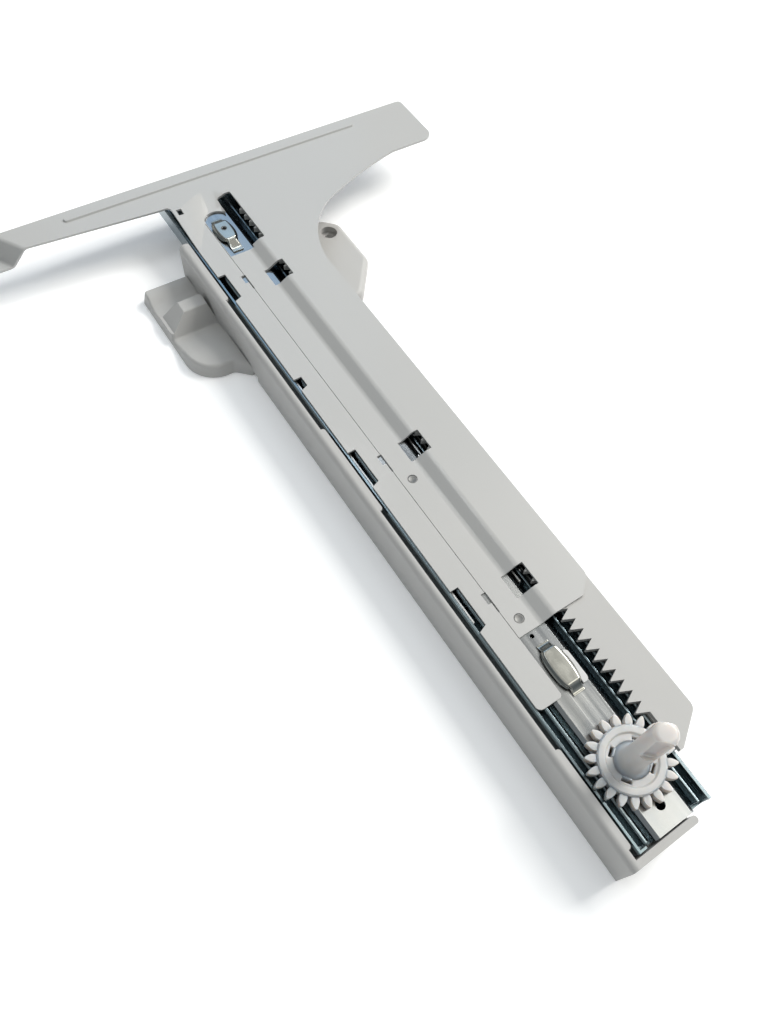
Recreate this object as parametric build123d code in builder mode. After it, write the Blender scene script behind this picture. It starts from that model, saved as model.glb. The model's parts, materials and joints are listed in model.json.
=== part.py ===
from build123d import *
import os
from math import acos, cos, pi, radians, sin, sqrt, tan

os.makedirs("parts", exist_ok=True)

# Freezer drawer rail, one side: +X is the opening direction, +Z points from the cabinet
# wall into the compartment, +Y is the closed side wall. The back face lies on Z = 0, the
# rear end face on X = 0 and the slide centreline on Y = 0. Millimetres.

# ---- slide ------------------------------------------------------------------------------
slide_width = 45.5
slide_depth = 13.0
sheet = 1.2
rail_rear = 4.5
outer_length = 477.5
middle_length = 470.0
inner_length = 473.5
web_half = 10.0
ball_r = 1.95
ball_play = 0.08
web_gap = 1.4
cage_t = 0.8
cage_height = 7.0
outer_balls_each = 12
inner_balls_each = 10
ball_pitch = 20.0
travel = 400.0

# ---- housing ----------------------------------------------------------------------------
back_depth = 12.0
housing_length = 432.0
housing_wall = 3.5
wall_top = 28.0
lip_t = 1.8
side_gap = 4.25
gear_side_gap = 4.5
lip_reach = 2.7
window_reach = 0.7
floor_t = 2.5
end_wall_t = 3.8
end_wall_right = -9.5
flange_t = 3.2
flange_edge = -43.4
flange_front = 462.0
side_wall_right = 2.5
boss_t = 8.0
boss_x = 419.0
boss_right_y = -68.5
boss_hole_r = 3.1
sink_r = 5.4
sink_depth = 4.5
pod_reach = 31.0
ear_edge = -79.5
rib_top = 14.8

# ---- gear and rack ----------------------------------------------------------------------
module = 2.0
teeth = 20
pressure = radians(25)
gear_addendum = 1.0
gear_dedendum = 1.7
rack_addendum = 1.4
backlash = 0.3
gear_x = 37.9
gear_face = 5.0
gear_lift = 1.0
shaft_r = 6.0
seat_r = 6.4
flat_length = 24.0
shaft_top = 77.0
pin_r = 3.0
pin_play = 0.06

# ---- bracket ----------------------------------------------------------------------------
plate_t = 1.2
plate_rise = 4.2
plate_rear = 114.5
plate_right = -43.0
head_front = 488.5
arm_width = 44.0
arm_right_end = -169.0
strip_rear = 79.5
strip_lap = 1.75
notch_depth = 4.7
seam_y = 6.5
seam_gap = 0.3
slope_low = -8.0
slope_run = 7.0
joggle_y = 108.0
joggle_drop = 10.0
joggle_skew = 12.0
arm_left_end = 150.0
rivet_r = 2.75

# ---- derived levels ---------------------------------------------------------------------
slide_half = slide_width / 2
pitch_r = module * teeth / 2
gear_tip_r = pitch_r + module * gear_addendum
gear_root_r = pitch_r - module * gear_dedendum
rack_tip_y = pitch_r - module * rack_addendum
wall_inner = max(slide_half + side_gap, gear_tip_r + gear_side_gap)
wall_outer = wall_inner + housing_wall
pod_edge = wall_outer + pod_reach
lip_edge = wall_inner - lip_reach
window_edge = wall_inner - window_reach
strip_edge = slide_half - strip_lap
strip_notch = strip_edge - notch_depth
web_top = back_depth + slide_depth
middle_web = back_depth + sheet + web_gap
inner_foot = middle_web + sheet + web_gap
middle_half = slide_half - sheet - 2 * (ball_r + ball_play)
inner_half = middle_half - sheet - 2 * (ball_r + ball_play)
outer_ball_y = middle_half + ball_r + ball_play
inner_ball_y = inner_half + ball_r + ball_play
ball_z = 19.6
pitch = pi * module
gear_bottom = web_top + gear_lift
gear_top = gear_bottom + gear_face
flange_top = web_top + 3.7
plate_low = web_top
plate_high = plate_low + plate_rise
rack_half = pitch / 4
rack_root_y = pitch_r + (pitch / 2 - rack_half) / tan(pressure)
rack_first = gear_x + 2.5 * pitch
rack_teeth = int((flange_front - 8 - rack_first) / pitch)
floor_z = back_depth - floor_t


def box(x0, x1, y0, y1, z0, z1):
    """Upright block between two corners, ready to be added or cut."""
    return Pos((x0 + x1) / 2, (y0 + y1) / 2, (z0 + z1) / 2) * Box(
        x1 - x0, y1 - y0, z1 - z0, mode=Mode.PRIVATE
    )



# ---- housing ----------------------------------------------------------------------------
lip_stretches = ((9, 61), (210, 270), (379, housing_length))
screw_spots = ((60, 0), (240, 0), (420, 0))
screw_r = 2.0

tip_half = rack_half - (pitch_r - rack_tip_y) * tan(pressure)
foot_half = rack_half + (rack_root_y - pitch_r) * tan(pressure)
with BuildSketch() as rack_tooth:
    with BuildLine():
        Polyline(
            (-foot_half, -rack_root_y - 0.6), (-foot_half, -rack_root_y), (-tip_half, -rack_tip_y),
            (tip_half, -rack_tip_y), (foot_half, -rack_root_y), (foot_half, -rack_root_y - 0.6),
            close=True,
        )
    make_face()

ear_foot = -slide_half - 1
with BuildPart() as fixing_ear:
    with BuildSketch():
        with BuildLine():
            Polyline(
                (433, ear_foot), (433, ear_edge + 9.5), (424, ear_edge), (387, ear_edge),
                (361, ear_edge + 20.5), (361, ear_foot), close=True,
            )
        make_face()
        fillet(vertices().filter_by(lambda v: v.Y < ear_foot - 1), 8)
    extrude(amount=boss_t)
    fillet(edges().group_by(Axis.Z)[-1].filter_by(lambda e: e.center().Y < ear_foot - 1), 4.0)

with BuildPart() as fixing_pod:
    # side view: front ramp, upright rib, and a scooped rear ramp
    with BuildSketch(Plane.XZ.offset(-pod_edge)):
        with BuildLine():
            Polyline((430, 0), (430, boss_t), (426, boss_t))
            Spline((426, boss_t), (417, 5.2), (408, 4.6), tangents=((-1, 0), (-1, 0)))
            Polyline((408, 4.6), (405.6, 4.6), (404.2, rib_top), (395, rib_top), (387.5, 3.2))
            Spline((387.5, 3.2), (374, 6.2), (362, boss_t), tangents=((-1, 0.1), (-1, 0)))
            Polyline((362, boss_t), (340, boss_t), (340, 0), (430, 0))
        make_face()
    extrude(amount=pod_edge - wall_outer + 1.5)
    # plan outline with drafted sides
    with BuildSketch():
        with BuildLine():
            Polyline(
                (430, wall_outer - 1.5), (430, pod_edge), (350.5, pod_edge),
                (350.5, wall_outer + 8.5), (341, wall_outer - 1.5), close=True,
            )
        make_face()
        fillet(vertices().sort_by_distance((350.5, pod_edge))[0], 19)
        fillet(vertices().sort_by_distance((430, pod_edge))[0], 4)
        fillet(vertices().sort_by_distance((350.5, wall_outer + 8.5))[0], 5)
    extrude(amount=rib_top + 4, taper=14, mode=Mode.INTERSECT)
    # outer end of the rib leans back
    with BuildSketch(Plane.YZ.offset(388)):
        with BuildLine():
            Polyline(
                (pod_edge - 14, rib_top + 0.1), (pod_edge + 1, rib_top + 0.1), (pod_edge + 1, 6.2),
                (pod_edge - 3.3, 6.2), close=True,
            )
        make_face()
    extrude(amount=20, mode=Mode.SUBTRACT)
    for radius, spots in (
        (1.6, ((395, pod_edge - 23.5, rib_top), (404.2, pod_edge - 23.5, rib_top),
               (399.6, pod_edge - 13.9, rib_top))),
        (2.0, ((387.5, pod_edge - 16.5, 3.2),)),
        (1.5, ((426, pod_edge - 16.5, boss_t), (428, pod_edge - 16.5, boss_t))),
        (2.4, ((354, pod_edge - 7.5, boss_t), (366, pod_edge - 2.7, 7.6), (378, pod_edge - 2, 5.6))),
    ):
        fillet([edges().sort_by_distance(spot)[0] for spot in spots], radius)

with BuildPart() as rail_housing:
    # side wall with its rounded shoulder, swept along the channel
    with BuildSketch(Plane.YZ):
        with BuildLine():
            Polyline((wall_outer - housing_wall, 0), (wall_outer, 0), (wall_outer, wall_top - 3.5))
            RadiusArc((wall_outer, wall_top - 3.5), (wall_outer - 3.5, wall_top), -3.5)
            Polyline(
                (wall_outer - 3.5, wall_top),
                (window_edge, wall_top),
                (window_edge, wall_top - 2.6),
                (wall_outer - housing_wall, wall_top - 4),
                (wall_outer - housing_wall, 0),
            )
        make_face()
    extrude(amount=housing_length)
    # lip stretches reaching over the edge of the slide
    for start, stop in lip_stretches:
        with BuildSketch(Plane.XY.offset(wall_top - lip_t)):
            with Locations(((start + stop) / 2, (lip_edge + wall_outer - 4) / 2)):
                Rectangle(stop - start, wall_outer - 4 - lip_edge)
            fillet(vertices().group_by(Axis.Y)[0], 1.6)
        extrude(amount=lip_t)
    # channel floor and rear end wall
    with BuildSketch(Plane.XY.offset(floor_z)):
        with BuildLine():
            Polyline(
                (0, end_wall_right), (14, -slide_half + 1), (30, -slide_half - 1),
                (30, -slide_half - 2.9), (housing_length, -slide_half - 2.9),
                (housing_length, wall_outer - 1), (0, wall_outer - 1), close=True,
            )
        make_face()
    extrude(amount=floor_t)
    with BuildSketch(Plane.XY):
        with BuildLine():
            Polyline((end_wall_t, end_wall_right + 1.9), (end_wall_t, 28), (0, 28), (0, end_wall_right + 1.9))
            RadiusArc((0, end_wall_right + 1.9), (end_wall_t, end_wall_right + 1.9), -end_wall_t / 2)
        make_face()
    extrude(amount=wall_top - 0.4)
    # right wall and the flange standing at gear level
    right_wall = -slide_half - 0.4
    with BuildSketch(Plane.XY):
        with Locations(((30 + flange_front) / 2, right_wall - side_wall_right / 2)):
            Rectangle(flange_front - 30, side_wall_right)
    extrude(amount=flange_top - flange_t + 0.2)
    with BuildSketch(Plane.XY.offset(flange_top - flange_t)):
        with BuildLine():
            outline = Polyline(
                (28.6, -rack_root_y),
                (28.6, -rack_root_y - 2.0),
                (40.6, flange_edge),
                (flange_front, flange_edge),
                (flange_front, -rack_root_y),
                close=True,
            )
        make_face()
        fillet(vertices().sort_by_distance((40.6, flange_edge))[0], 5)
    extrude(amount=flange_t)
    # rack teeth, one trapezoid repeated at the pitch of the gear
    with BuildSketch(Plane.XY.offset(flange_top - flange_t)):
        with Locations([(rack_first + pitch * i, 0) for i in range(rack_teeth)]):
            add(rack_tooth.sketch)
    extrude(amount=flange_t)
    # cross ribs under the floor and gussets under the flange
    for i in range(8):
        x = 52 + 50 * i
        add(box(x - 1, x + 1, right_wall - 0.5, wall_outer - 3, 0, floor_z + 0.2))
        with BuildSketch(Plane.YZ.offset(x - 1)):
            with BuildLine():
                Polyline(
                    (right_wall - 1, 8), (right_wall - 1, flange_top - flange_t + 0.2),
                    (flange_edge + 2, flange_top - flange_t + 0.2), close=True,
                )
            make_face()
        extrude(amount=2)
    add(fixing_ear.part)
    add(fixing_pod.part)
    # screw hole in the ear, through holes for the rivets
    with BuildSketch(Plane.XY):
        with Locations((boss_x, boss_right_y)):
            Circle(boss_hole_r)
    extrude(amount=boss_t + 1, mode=Mode.SUBTRACT)
    with BuildSketch(Plane.XY.offset(floor_z)):
        with Locations(*screw_spots):
            Circle(screw_r)
    extrude(amount=floor_t, mode=Mode.SUBTRACT)
    with BuildSketch(Plane.XY.offset(boss_t - sink_depth)):
        with Locations((boss_x, boss_right_y)):
            Circle(sink_r)
    extrude(amount=sink_depth + 1, mode=Mode.SUBTRACT)
    # drain notch at the foot of the wall behind the pod
    with Locations((340, wall_outer, 2)):
        Box(6, 9, 4, mode=Mode.SUBTRACT)

rail_housing.part.label = "rail_housing"
export_step(rail_housing.part, "parts/rail_housing.step")


# ---- slide rails ------------------------------------------------------------------------
def channel(half, foot, top, lip, rise=1.2):
    """Half outline of a rolled channel: web on the foot level, flange turned in at the top."""
    Polyline(
        (0, foot), (half - 1.5, foot), (half, foot + 1.5), (half, top - 0.7), (half - 0.7, top),
        (half - sheet - lip, top), (half - sheet - lip, top - rise),
        (half - sheet, top - rise - lip), (half - sheet, foot + sheet + 1.0),
        (half - sheet - 1.0, foot + sheet), (0, foot + sheet), close=True,
    )


with BuildPart() as outer_rail:
    with BuildSketch(Plane.YZ.offset(rail_rear)):
        with BuildLine():
            channel(slide_half, back_depth, web_top, 0.7)
        make_face()
        mirror(about=Plane.YZ)
    extrude(amount=outer_length)
    # stop tab bent in at the rear of the closed side
    with BuildSketch(Plane.YZ.offset(rail_rear)):
        with Locations((slide_half - 3.2, (back_depth + web_top) / 2 + 0.4)):
            Rectangle(4.4, slide_depth - 2.0)
    extrude(amount=sheet)
    # stop pressed up from the web at the front
    with BuildSketch(Plane.XY.offset(back_depth + sheet)):
        with Locations((rail_rear + outer_length - 8, 0)):
            SlotOverall(12, 5, rotation=90)
    extrude(amount=0.9)
    with BuildSketch(Plane.XY.offset(back_depth)):
        with Locations(*screw_spots):
            Circle(screw_r + 0.1)
        with Locations((140, 0), (330, 0)):
            SlotOverall(14, 6)
    extrude(amount=sheet, mode=Mode.SUBTRACT)
outer_rail.part.label = "outer_rail"
export_step(outer_rail.part, "parts/outer_rail.step")

with BuildPart() as outer_rail_screws:
    with BuildSketch(Plane.XY.offset(back_depth + sheet)):
        with Locations(*screw_spots):
            Circle(3.6)
    extrude(amount=0.9)
    with BuildSketch(Plane.XY.offset(2)):
        with Locations(*screw_spots):
            Circle(screw_r)
    extrude(amount=back_depth + sheet - 2)
    slot_floor = back_depth + sheet + 0.4
    for x, y in screw_spots:
        add(box(x - 2.2, x + 2.2, y - 0.4, y + 0.4, slot_floor, slot_floor + 4), mode=Mode.SUBTRACT)
outer_rail_screws.part.label = "outer_rail_screws"
export_step(outer_rail_screws.part, "parts/outer_rail_screws.step")

middle_rear = rail_rear + 2.0
with BuildPart() as middle_rail:
    with BuildSketch(Plane.YZ.offset(middle_rear)):
        with BuildLine():
            channel(middle_half, middle_web, web_top - 0.5, 0.5, 0.9)
        make_face()
        mirror(about=Plane.YZ)
    extrude(amount=middle_length)
    with BuildSketch(Plane.XY.offset(middle_web)):
        with Locations((90, 0), (260, 0), (430, 0)):
            SlotOverall(20, 8)
    extrude(amount=sheet, mode=Mode.SUBTRACT)
middle_rail.part.label = "middle_rail"
export_step(middle_rail.part, "parts/middle_rail.step")

rivet_spots = ((122.8, 0), (218.5, 0))
clip_x = 432.9
clip_y = -0.9
rivet_shank = 1.9
with BuildPart() as inner_rail:
    with BuildSketch(Plane.YZ.offset(rail_rear)):
        with BuildLine():
            Polyline(
                (0, web_top), (web_half, web_top), (inner_half - 0.4, web_top - 1.4),
                (inner_half, web_top - 2.4), (inner_half, inner_foot), (inner_half - sheet, inner_foot),
                (inner_half - sheet, web_top - 2.6), (web_half - 0.6, web_top - sheet),
                (0, web_top - sheet), close=True,
            )
        make_face()
        mirror(about=Plane.YZ)
    extrude(amount=inner_length)
    with BuildSketch(Plane.XY.offset(web_top - sheet)):
        with Locations(*rivet_spots):
            Circle(rivet_r - 0.75)
        with Locations((gear_x, 0)):
            Circle(pin_r)
        with Locations((15.4, 0)):
            Circle(2.5)
        with Locations((112.0, -0.2)):
            Circle(1.2)
        with Locations((clip_x, clip_y)):
            Circle(rivet_shank)
    extrude(amount=sheet, mode=Mode.SUBTRACT)
inner_rail.part.label = "inner_rail"
export_step(inner_rail.part, "parts/inner_rail.step")


# ---- balls and cages --------------------------------------------------------------------
outer_cage_x = 256.0
inner_cage_x = 242.0


def cage(label, centre_x, y, count):
    """Flat ball cage: a strip on edge with one pocket per ball."""
    with BuildPart() as strip:
        with BuildSketch(Plane.XZ.offset(-y - cage_t / 2)):
            with Locations((centre_x, ball_z)):
                Rectangle(count * ball_pitch + 6, cage_height)
            fillet(vertices(), 1.5)
            with Locations([(centre_x + ball_pitch * (i - (count - 1) / 2), ball_z) for i in range(count)]):
                Circle(ball_r + 0.12, mode=Mode.SUBTRACT)
        extrude(amount=cage_t)
    strip.part.label = label
    return strip


def ball_rows(label, centre_x, y, count):
    """Two rows of balls, one on each side of the slide."""
    spots = [
        (centre_x + ball_pitch * (i - (count - 1) / 2), side * y, ball_z)
        for side in (-1, 1)
        for i in range(count)
    ]
    with BuildPart() as balls:
        with Locations(*spots):
            Sphere(ball_r)
    balls.part.label = label
    return balls


outer_cage_left = cage("outer_cage_left", outer_cage_x, outer_ball_y, outer_balls_each)
export_step(outer_cage_left.part, "parts/outer_cage_left.step")

outer_cage_right = cage("outer_cage_right", outer_cage_x, -outer_ball_y, outer_balls_each)
export_step(outer_cage_right.part, "parts/outer_cage_right.step")

outer_balls = ball_rows("outer_balls", outer_cage_x, outer_ball_y, outer_balls_each)
export_step(outer_balls.part, "parts/outer_balls.step")

inner_cage_left = cage("inner_cage_left", inner_cage_x, inner_ball_y, inner_balls_each)
export_step(inner_cage_left.part, "parts/inner_cage_left.step")

inner_cage_right = cage("inner_cage_right", inner_cage_x, -inner_ball_y, inner_balls_each)
export_step(inner_cage_right.part, "parts/inner_cage_right.step")

inner_balls = ball_rows("inner_balls", inner_cage_x, inner_ball_y, inner_balls_each)
export_step(inner_balls.part, "parts/inner_balls.step")


# ---- drawer bracket ---------------------------------------------------------------------
arm_rear = head_front - arm_width
head_low = 455.0


def recess(floor, rise, grow):
    """Tapered pan of the lowered strip: floor outline lofted out to the upper outline."""
    with BuildPart() as pan:
        for level, spread, nose in ((floor, grow, 0), (floor + rise, grow + slope_run, 8)):
            with BuildSketch(Plane.XY.offset(level)):
                with BuildLine():
                    Polyline(
                        (40, slope_low - spread), (head_low - 3 + nose, slope_low - spread),
                        (head_low + 3 + nose * 1.5, -3 - nose / 2), (head_low - 38 + nose * 4.5, 24 + spread),
                        (40, 24 + spread), close=True,
                    )
                make_face()
                fillet(vertices().sort_by_distance((head_low - 3 + nose, slope_low - spread))[0], 6)
                fillet(
                    vertices().sort_by_distance((head_low + 3 + nose * 1.5, -3 - nose / 2))[0], 4 + nose / 4
                )
        loft()
    return pan.part


pan_top = recess(plate_low + plate_t, plate_rise, 0)
pan_bottom = recess(plate_low, plate_rise, 0.7)
under_side = box(30, 530, -210, 190, plate_low, plate_high) - pan_bottom

notches = ((129, 153), (227, 250.5), (301.5, 308.5), (379, 399.5))
windows = (139.0, 235.0, 384.0)
slope_mid = (slope_low * 2 - slope_run - 3) / 2

with BuildPart() as drawer_bracket:
    # whole outline as a slab from the lowest to the highest sheet level
    with BuildSketch(Plane.XY.offset(plate_low)):
        with BuildLine():
            Polyline(
                (374, plate_right), (plate_rear + 8, plate_right), (plate_rear, plate_right + 9),
                (plate_rear, seam_y), (strip_rear, seam_y), (strip_rear, strip_edge),
                (463, strip_edge), (463, 29), (470, joggle_y),
                (head_front, joggle_y + joggle_skew),
                (head_front, arm_right_end), (arm_rear, arm_right_end), (arm_rear, -135),
            )
            bend = TangentArc((374, plate_right), (426, -77), tangent=(1, 0))
            TangentArc((426, -77), (arm_rear, -135), tangent=bend % 1)
        make_face()
        fillet(vertices().sort_by_distance((arm_rear, arm_right_end))[0], 8)
        fillet(vertices().sort_by_distance((head_front, arm_right_end))[0], 3)
        fillet(vertices().sort_by_distance((strip_rear, strip_edge))[0], 3)
        fillet(vertices().sort_by_distance((strip_rear, seam_y))[0], 2)
        fillet(vertices().sort_by_distance((plate_rear + 8, plate_right))[0], 6)
        fillet(vertices().sort_by_distance((463, strip_edge))[0], 3)
    extrude(amount=plate_rise + plate_t)
    add(pan_top, mode=Mode.SUBTRACT)
    add(under_side, mode=Mode.SUBTRACT)
    # left arm steps down past the slide on a slanting bend and ends in a flat pad
    with BuildSketch(Plane.YZ.offset(470)):
        with BuildLine():
            Polyline(
                (joggle_y - 0.4, plate_high), (joggle_y + 2, plate_high),
                (joggle_y + 2 + joggle_drop, plate_high - joggle_drop),
                (arm_left_end + 8, plate_high - joggle_drop),
                (arm_left_end + 8, plate_high - joggle_drop + plate_t),
                (joggle_y + 2.5 + joggle_drop, plate_high - joggle_drop + plate_t),
                (joggle_y + 2.5, plate_high + plate_t),
                (joggle_y - 0.4, plate_high + plate_t), close=True,
            )
        make_face()
        fillet(vertices().sort_by_distance((joggle_y + 2, plate_high))[0], 3.6)
        fillet(vertices().sort_by_distance((joggle_y + 2.5, plate_high + plate_t))[0], 4.8)
        fillet(vertices().sort_by_distance((joggle_y + 2 + joggle_drop, plate_high - joggle_drop))[0], 4.8)
        arm_bend = (joggle_y + 2.5 + joggle_drop, plate_high - joggle_drop + plate_t)
        fillet(vertices().sort_by_distance(arm_bend)[0], 3.6)
    extrude(amount=sqrt((head_front - 470) ** 2 + joggle_skew**2), dir=(head_front - 470, joggle_skew, 0))
    add(box(460, 500, arm_left_end, arm_left_end + 40, 10, 40), mode=Mode.SUBTRACT)
    # stiffening bead along the front edge and the turned-down hem
    with BuildSketch(Plane.XY.offset(plate_high + plate_t - 0.01)):
        with Locations((480.8, -21.5)):
            SlotOverall(207, 4.6, rotation=90)
    extrude(amount=1.0, taper=35)
    with BuildSketch(Plane.XY.offset(plate_high - 7)):
        with Locations((head_front - 0.6, (joggle_y - 8 - 72) / 2)):
            Rectangle(1.2, joggle_y - 8 + 72)
    extrude(amount=7.2)
    # notches in the long edge, seam, lances and the small slot by the head
    for start, stop in notches:
        with BuildSketch(Plane.XY.offset(plate_low - 1)):
            with BuildLine():
                Polyline(
                    (start - 2.2, strip_edge + 1), (start, strip_notch), (stop, strip_notch),
                    (stop, strip_edge + 1), close=True,
                )
            make_face()
        extrude(amount=4, mode=Mode.SUBTRACT)
    add(box(plate_rear - 1, 444, seam_y - seam_gap / 2, seam_y + seam_gap / 2, 20, 40), mode=Mode.SUBTRACT)
    for x in (387, 234, 137):
        add(box(x, x + 6.5, seam_y - 0.5, seam_y + 2.4, 20, 40), mode=Mode.SUBTRACT)
        add(box(x - 6, x, seam_y - 0.5, seam_y + 0.4, 20, 40), mode=Mode.SUBTRACT)
    with Locations((456.5, 17, plate_low + 2)):
        Box(4.5, 3.4, 12, mode=Mode.SUBTRACT)
    # windows across the slope, the long front slot and the arched opening over the clip
    for x in windows:
        add(box(x - 7, x + 7, -18.5, -5.8, 20, 40), mode=Mode.SUBTRACT)
    with BuildSketch(Plane.XY.offset(20)):
        with Locations((436, -14.0)):
            Rectangle(46, 9.4)
        fillet(vertices(), 1.0)
        with BuildLine():
            Polyline((446, slope_low - 2), (411, slope_low - 2), (411, seam_y - 0.4), (446, seam_y - 0.4))
            RadiusArc((446, seam_y - 0.4), (446, slope_low - 2), 8.6)
        make_face()
    extrude(amount=20, mode=Mode.SUBTRACT)
    # rivet holes
    with BuildSketch(Plane.XY.offset(15)):
        with Locations(*rivet_spots):
            Circle(rivet_r)
    extrude(amount=25, mode=Mode.SUBTRACT)
drawer_bracket.part.label = "drawer_bracket"
export_step(drawer_bracket.part, "parts/drawer_bracket.step")

with BuildPart() as bracket_rivets:
    with BuildSketch(Plane.XY.offset(plate_low)):
        with Locations(*rivet_spots):
            Circle(rivet_r)
    extrude(amount=plate_t - 0.25)
    with BuildSketch(Plane.XY.offset(web_top - sheet - 1.2)):
        with Locations(*rivet_spots):
            Circle(rivet_r - 0.75)
    extrude(amount=sheet + 1.4)
    with BuildSketch(Plane.XY.offset(web_top - sheet - 1.2)):
        with Locations(*rivet_spots):
            Circle(rivet_r + 0.6)
    extrude(amount=1.2)
bracket_rivets.part.label = "bracket_rivets"
export_step(bracket_rivets.part, "parts/bracket_rivets.step")


# ---- clips on the inner rail ------------------------------------------------------------
clip_t = 0.8
clip_rise = 2.6
clip_length = 30.0
clip_foot_half = 3.8
clip_bulge_half = 6.4


def strap(label, rear, y, hole_r):
    """Bridge strap on the rail: two flat feet, raised middle with bulging sides."""
    front = rear + clip_length
    with BuildPart() as clip:
        with BuildSketch(Plane.XZ.offset(-y - 8)):
            with BuildLine():
                Polyline(
                    (rear, web_top), (rear + 5.5, web_top), (rear + 7.5, web_top + clip_rise),
                    (front - 7.5, web_top + clip_rise), (front - 5.5, web_top), (front, web_top),
                    (front, web_top + clip_t), (front - 5.0, web_top + clip_t),
                    (front - 7.0, web_top + clip_rise + clip_t),
                    (rear + 7.0, web_top + clip_rise + clip_t),
                    (rear + 5.0, web_top + clip_t), (rear, web_top + clip_t), close=True,
                )
            make_face()
            fillet(vertices().group_by(Axis.Y)[-1], 1.5)
        extrude(amount=16)
        with BuildSketch(Plane.XY.offset(web_top - 1)):
            with BuildLine():
                Line((rear + 6, y - clip_foot_half), (rear, y - clip_foot_half))
                Line((rear, y - clip_foot_half), (rear, y + clip_foot_half))
                Line((rear, y + clip_foot_half), (rear + 6, y + clip_foot_half))
                ThreePointArc(
                    (rear + 6, y + clip_foot_half), (rear + 15, y + clip_bulge_half),
                    (front - 6, y + clip_foot_half),
                )
                Line((front - 6, y + clip_foot_half), (front, y + clip_foot_half))
                Line((front, y + clip_foot_half), (front, y - clip_foot_half))
                Line((front, y - clip_foot_half), (front - 6, y - clip_foot_half))
                ThreePointArc(
                    (front - 6, y - clip_foot_half), (rear + 15, y - clip_bulge_half),
                    (rear + 6, y - clip_foot_half),
                )
            make_face()
        extrude(amount=6, mode=Mode.INTERSECT)
        if hole_r:
            with BuildSketch(Plane.XY.offset(web_top)):
                with Locations((clip_x, y)):
                    Circle(hole_r)
            extrude(amount=6, mode=Mode.SUBTRACT)
    clip.part.label = label
    return clip


front_clip = strap("front_clip", clip_x - 18.5, clip_y, rivet_shank)
export_step(front_clip.part, "parts/front_clip.step")

with BuildPart() as front_clip_rivet:
    with BuildSketch(Plane.XZ):
        with BuildLine():
            Polyline(
                (0, web_top - sheet - 1.2), (3.0, web_top - sheet - 1.2), (3.0, web_top - sheet),
                (rivet_shank, web_top - sheet), (rivet_shank, web_top + clip_rise + clip_t - 0.1),
                (1.2, web_top + clip_rise + clip_t - 0.1), (1.0, web_top + 1.6),
                (0, web_top + 1.6), close=True,
            )
        make_face()
    revolve(axis=Axis.Z)
front_clip_rivet.part = front_clip_rivet.part.moved(Location((clip_x, clip_y, 0)))
front_clip_rivet.part.label = "front_clip_rivet"
export_step(front_clip_rivet.part, "parts/front_clip_rivet.step")

rear_clip = strap("rear_clip", 76.5, -1.8, 0)
export_step(rear_clip.part, "parts/rear_clip.step")

with BuildPart() as clip_pad:
    with BuildSketch(Plane.XY.offset(web_top)):
        with BuildLine():
            Polyline(
                (79, -10.4), (98, -10.4), (98, 3.6), (84.5, 3.6), (84.5, -6.4), (79, -6.4), close=True
            )
        make_face()
        fillet(vertices().group_by(Axis.Y)[0], 2.5)
    extrude(amount=1.2)
clip_pad.part.label = "clip_pad"
export_step(clip_pad.part, "parts/clip_pad.step")


# ---- pinion -----------------------------------------------------------------------------
base_r = pitch_r * cos(pressure)


def flank_angle(radius):
    """Half angle of an involute tooth at a radius, backlash already taken off."""
    half_pitch = (pitch / 4 - backlash / 2) / pitch_r
    roll = acos(min(1.0, base_r / radius))
    return half_pitch + (tan(pressure) - pressure) - (tan(roll) - roll)


def polar(radius, angle):
    """Point on a circle about the gear axis."""
    return (radius * cos(angle), radius * sin(angle))


base = flank_angle(base_r)
mid_r = (base_r + gear_tip_r) / 2
tip = max(0.008, flank_angle(gear_tip_r))
with BuildSketch() as gear_tooth:
    with BuildLine():
        Line(polar(gear_root_r - 1, -base), polar(base_r, -base))
        ThreePointArc(
            polar(base_r, -base), polar(mid_r, -flank_angle(mid_r)), polar(gear_tip_r, -tip)
        )
        Line(polar(gear_tip_r, -tip), polar(gear_tip_r, tip))
        ThreePointArc(polar(gear_tip_r, tip), polar(mid_r, flank_angle(mid_r)), polar(base_r, base))
        Line(polar(base_r, base), polar(gear_root_r - 1, base))
        Line(polar(gear_root_r - 1, base), polar(gear_root_r - 1, -base))
    make_face()


# the tooth that leads into the rack stands where rolling will drop it between two teeth
tooth_phase = -90 + 180 / pi * (rack_first + pitch / 2 - gear_x) / pitch_r

with BuildPart() as pinion:
    with BuildSketch(Plane.XY.offset(gear_bottom)):
        with PolarLocations(0, teeth, tooth_phase):
            add(gear_tooth.sketch)
        Circle(gear_root_r)
    extrude(amount=gear_face)
    with BuildSketch(Plane.XY.offset(gear_top - 1.6)):
        Circle(12.6)
        Circle(7.4, mode=Mode.SUBTRACT)
    extrude(amount=4, mode=Mode.SUBTRACT)
    with BuildSketch(Plane.XY.offset(gear_top)):
        Circle(gear_root_r - 0.4)
        Circle(12.6, mode=Mode.SUBTRACT)
    extrude(amount=0.9)
    # four snap slots round the hub and the seat of the stub shaft
    with BuildSketch(Plane.XY.offset(gear_bottom)):
        with PolarLocations(10.2, 4, 35):
            SlotOverall(5.2, 1.8, rotation=90)
        Circle(seat_r)
    extrude(amount=gear_face + 2, mode=Mode.SUBTRACT)
pinion.part = pinion.part.moved(Location((gear_x, 0, 0)))
pinion.part.label = "pinion"
export_step(pinion.part, "parts/pinion.step")

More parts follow.
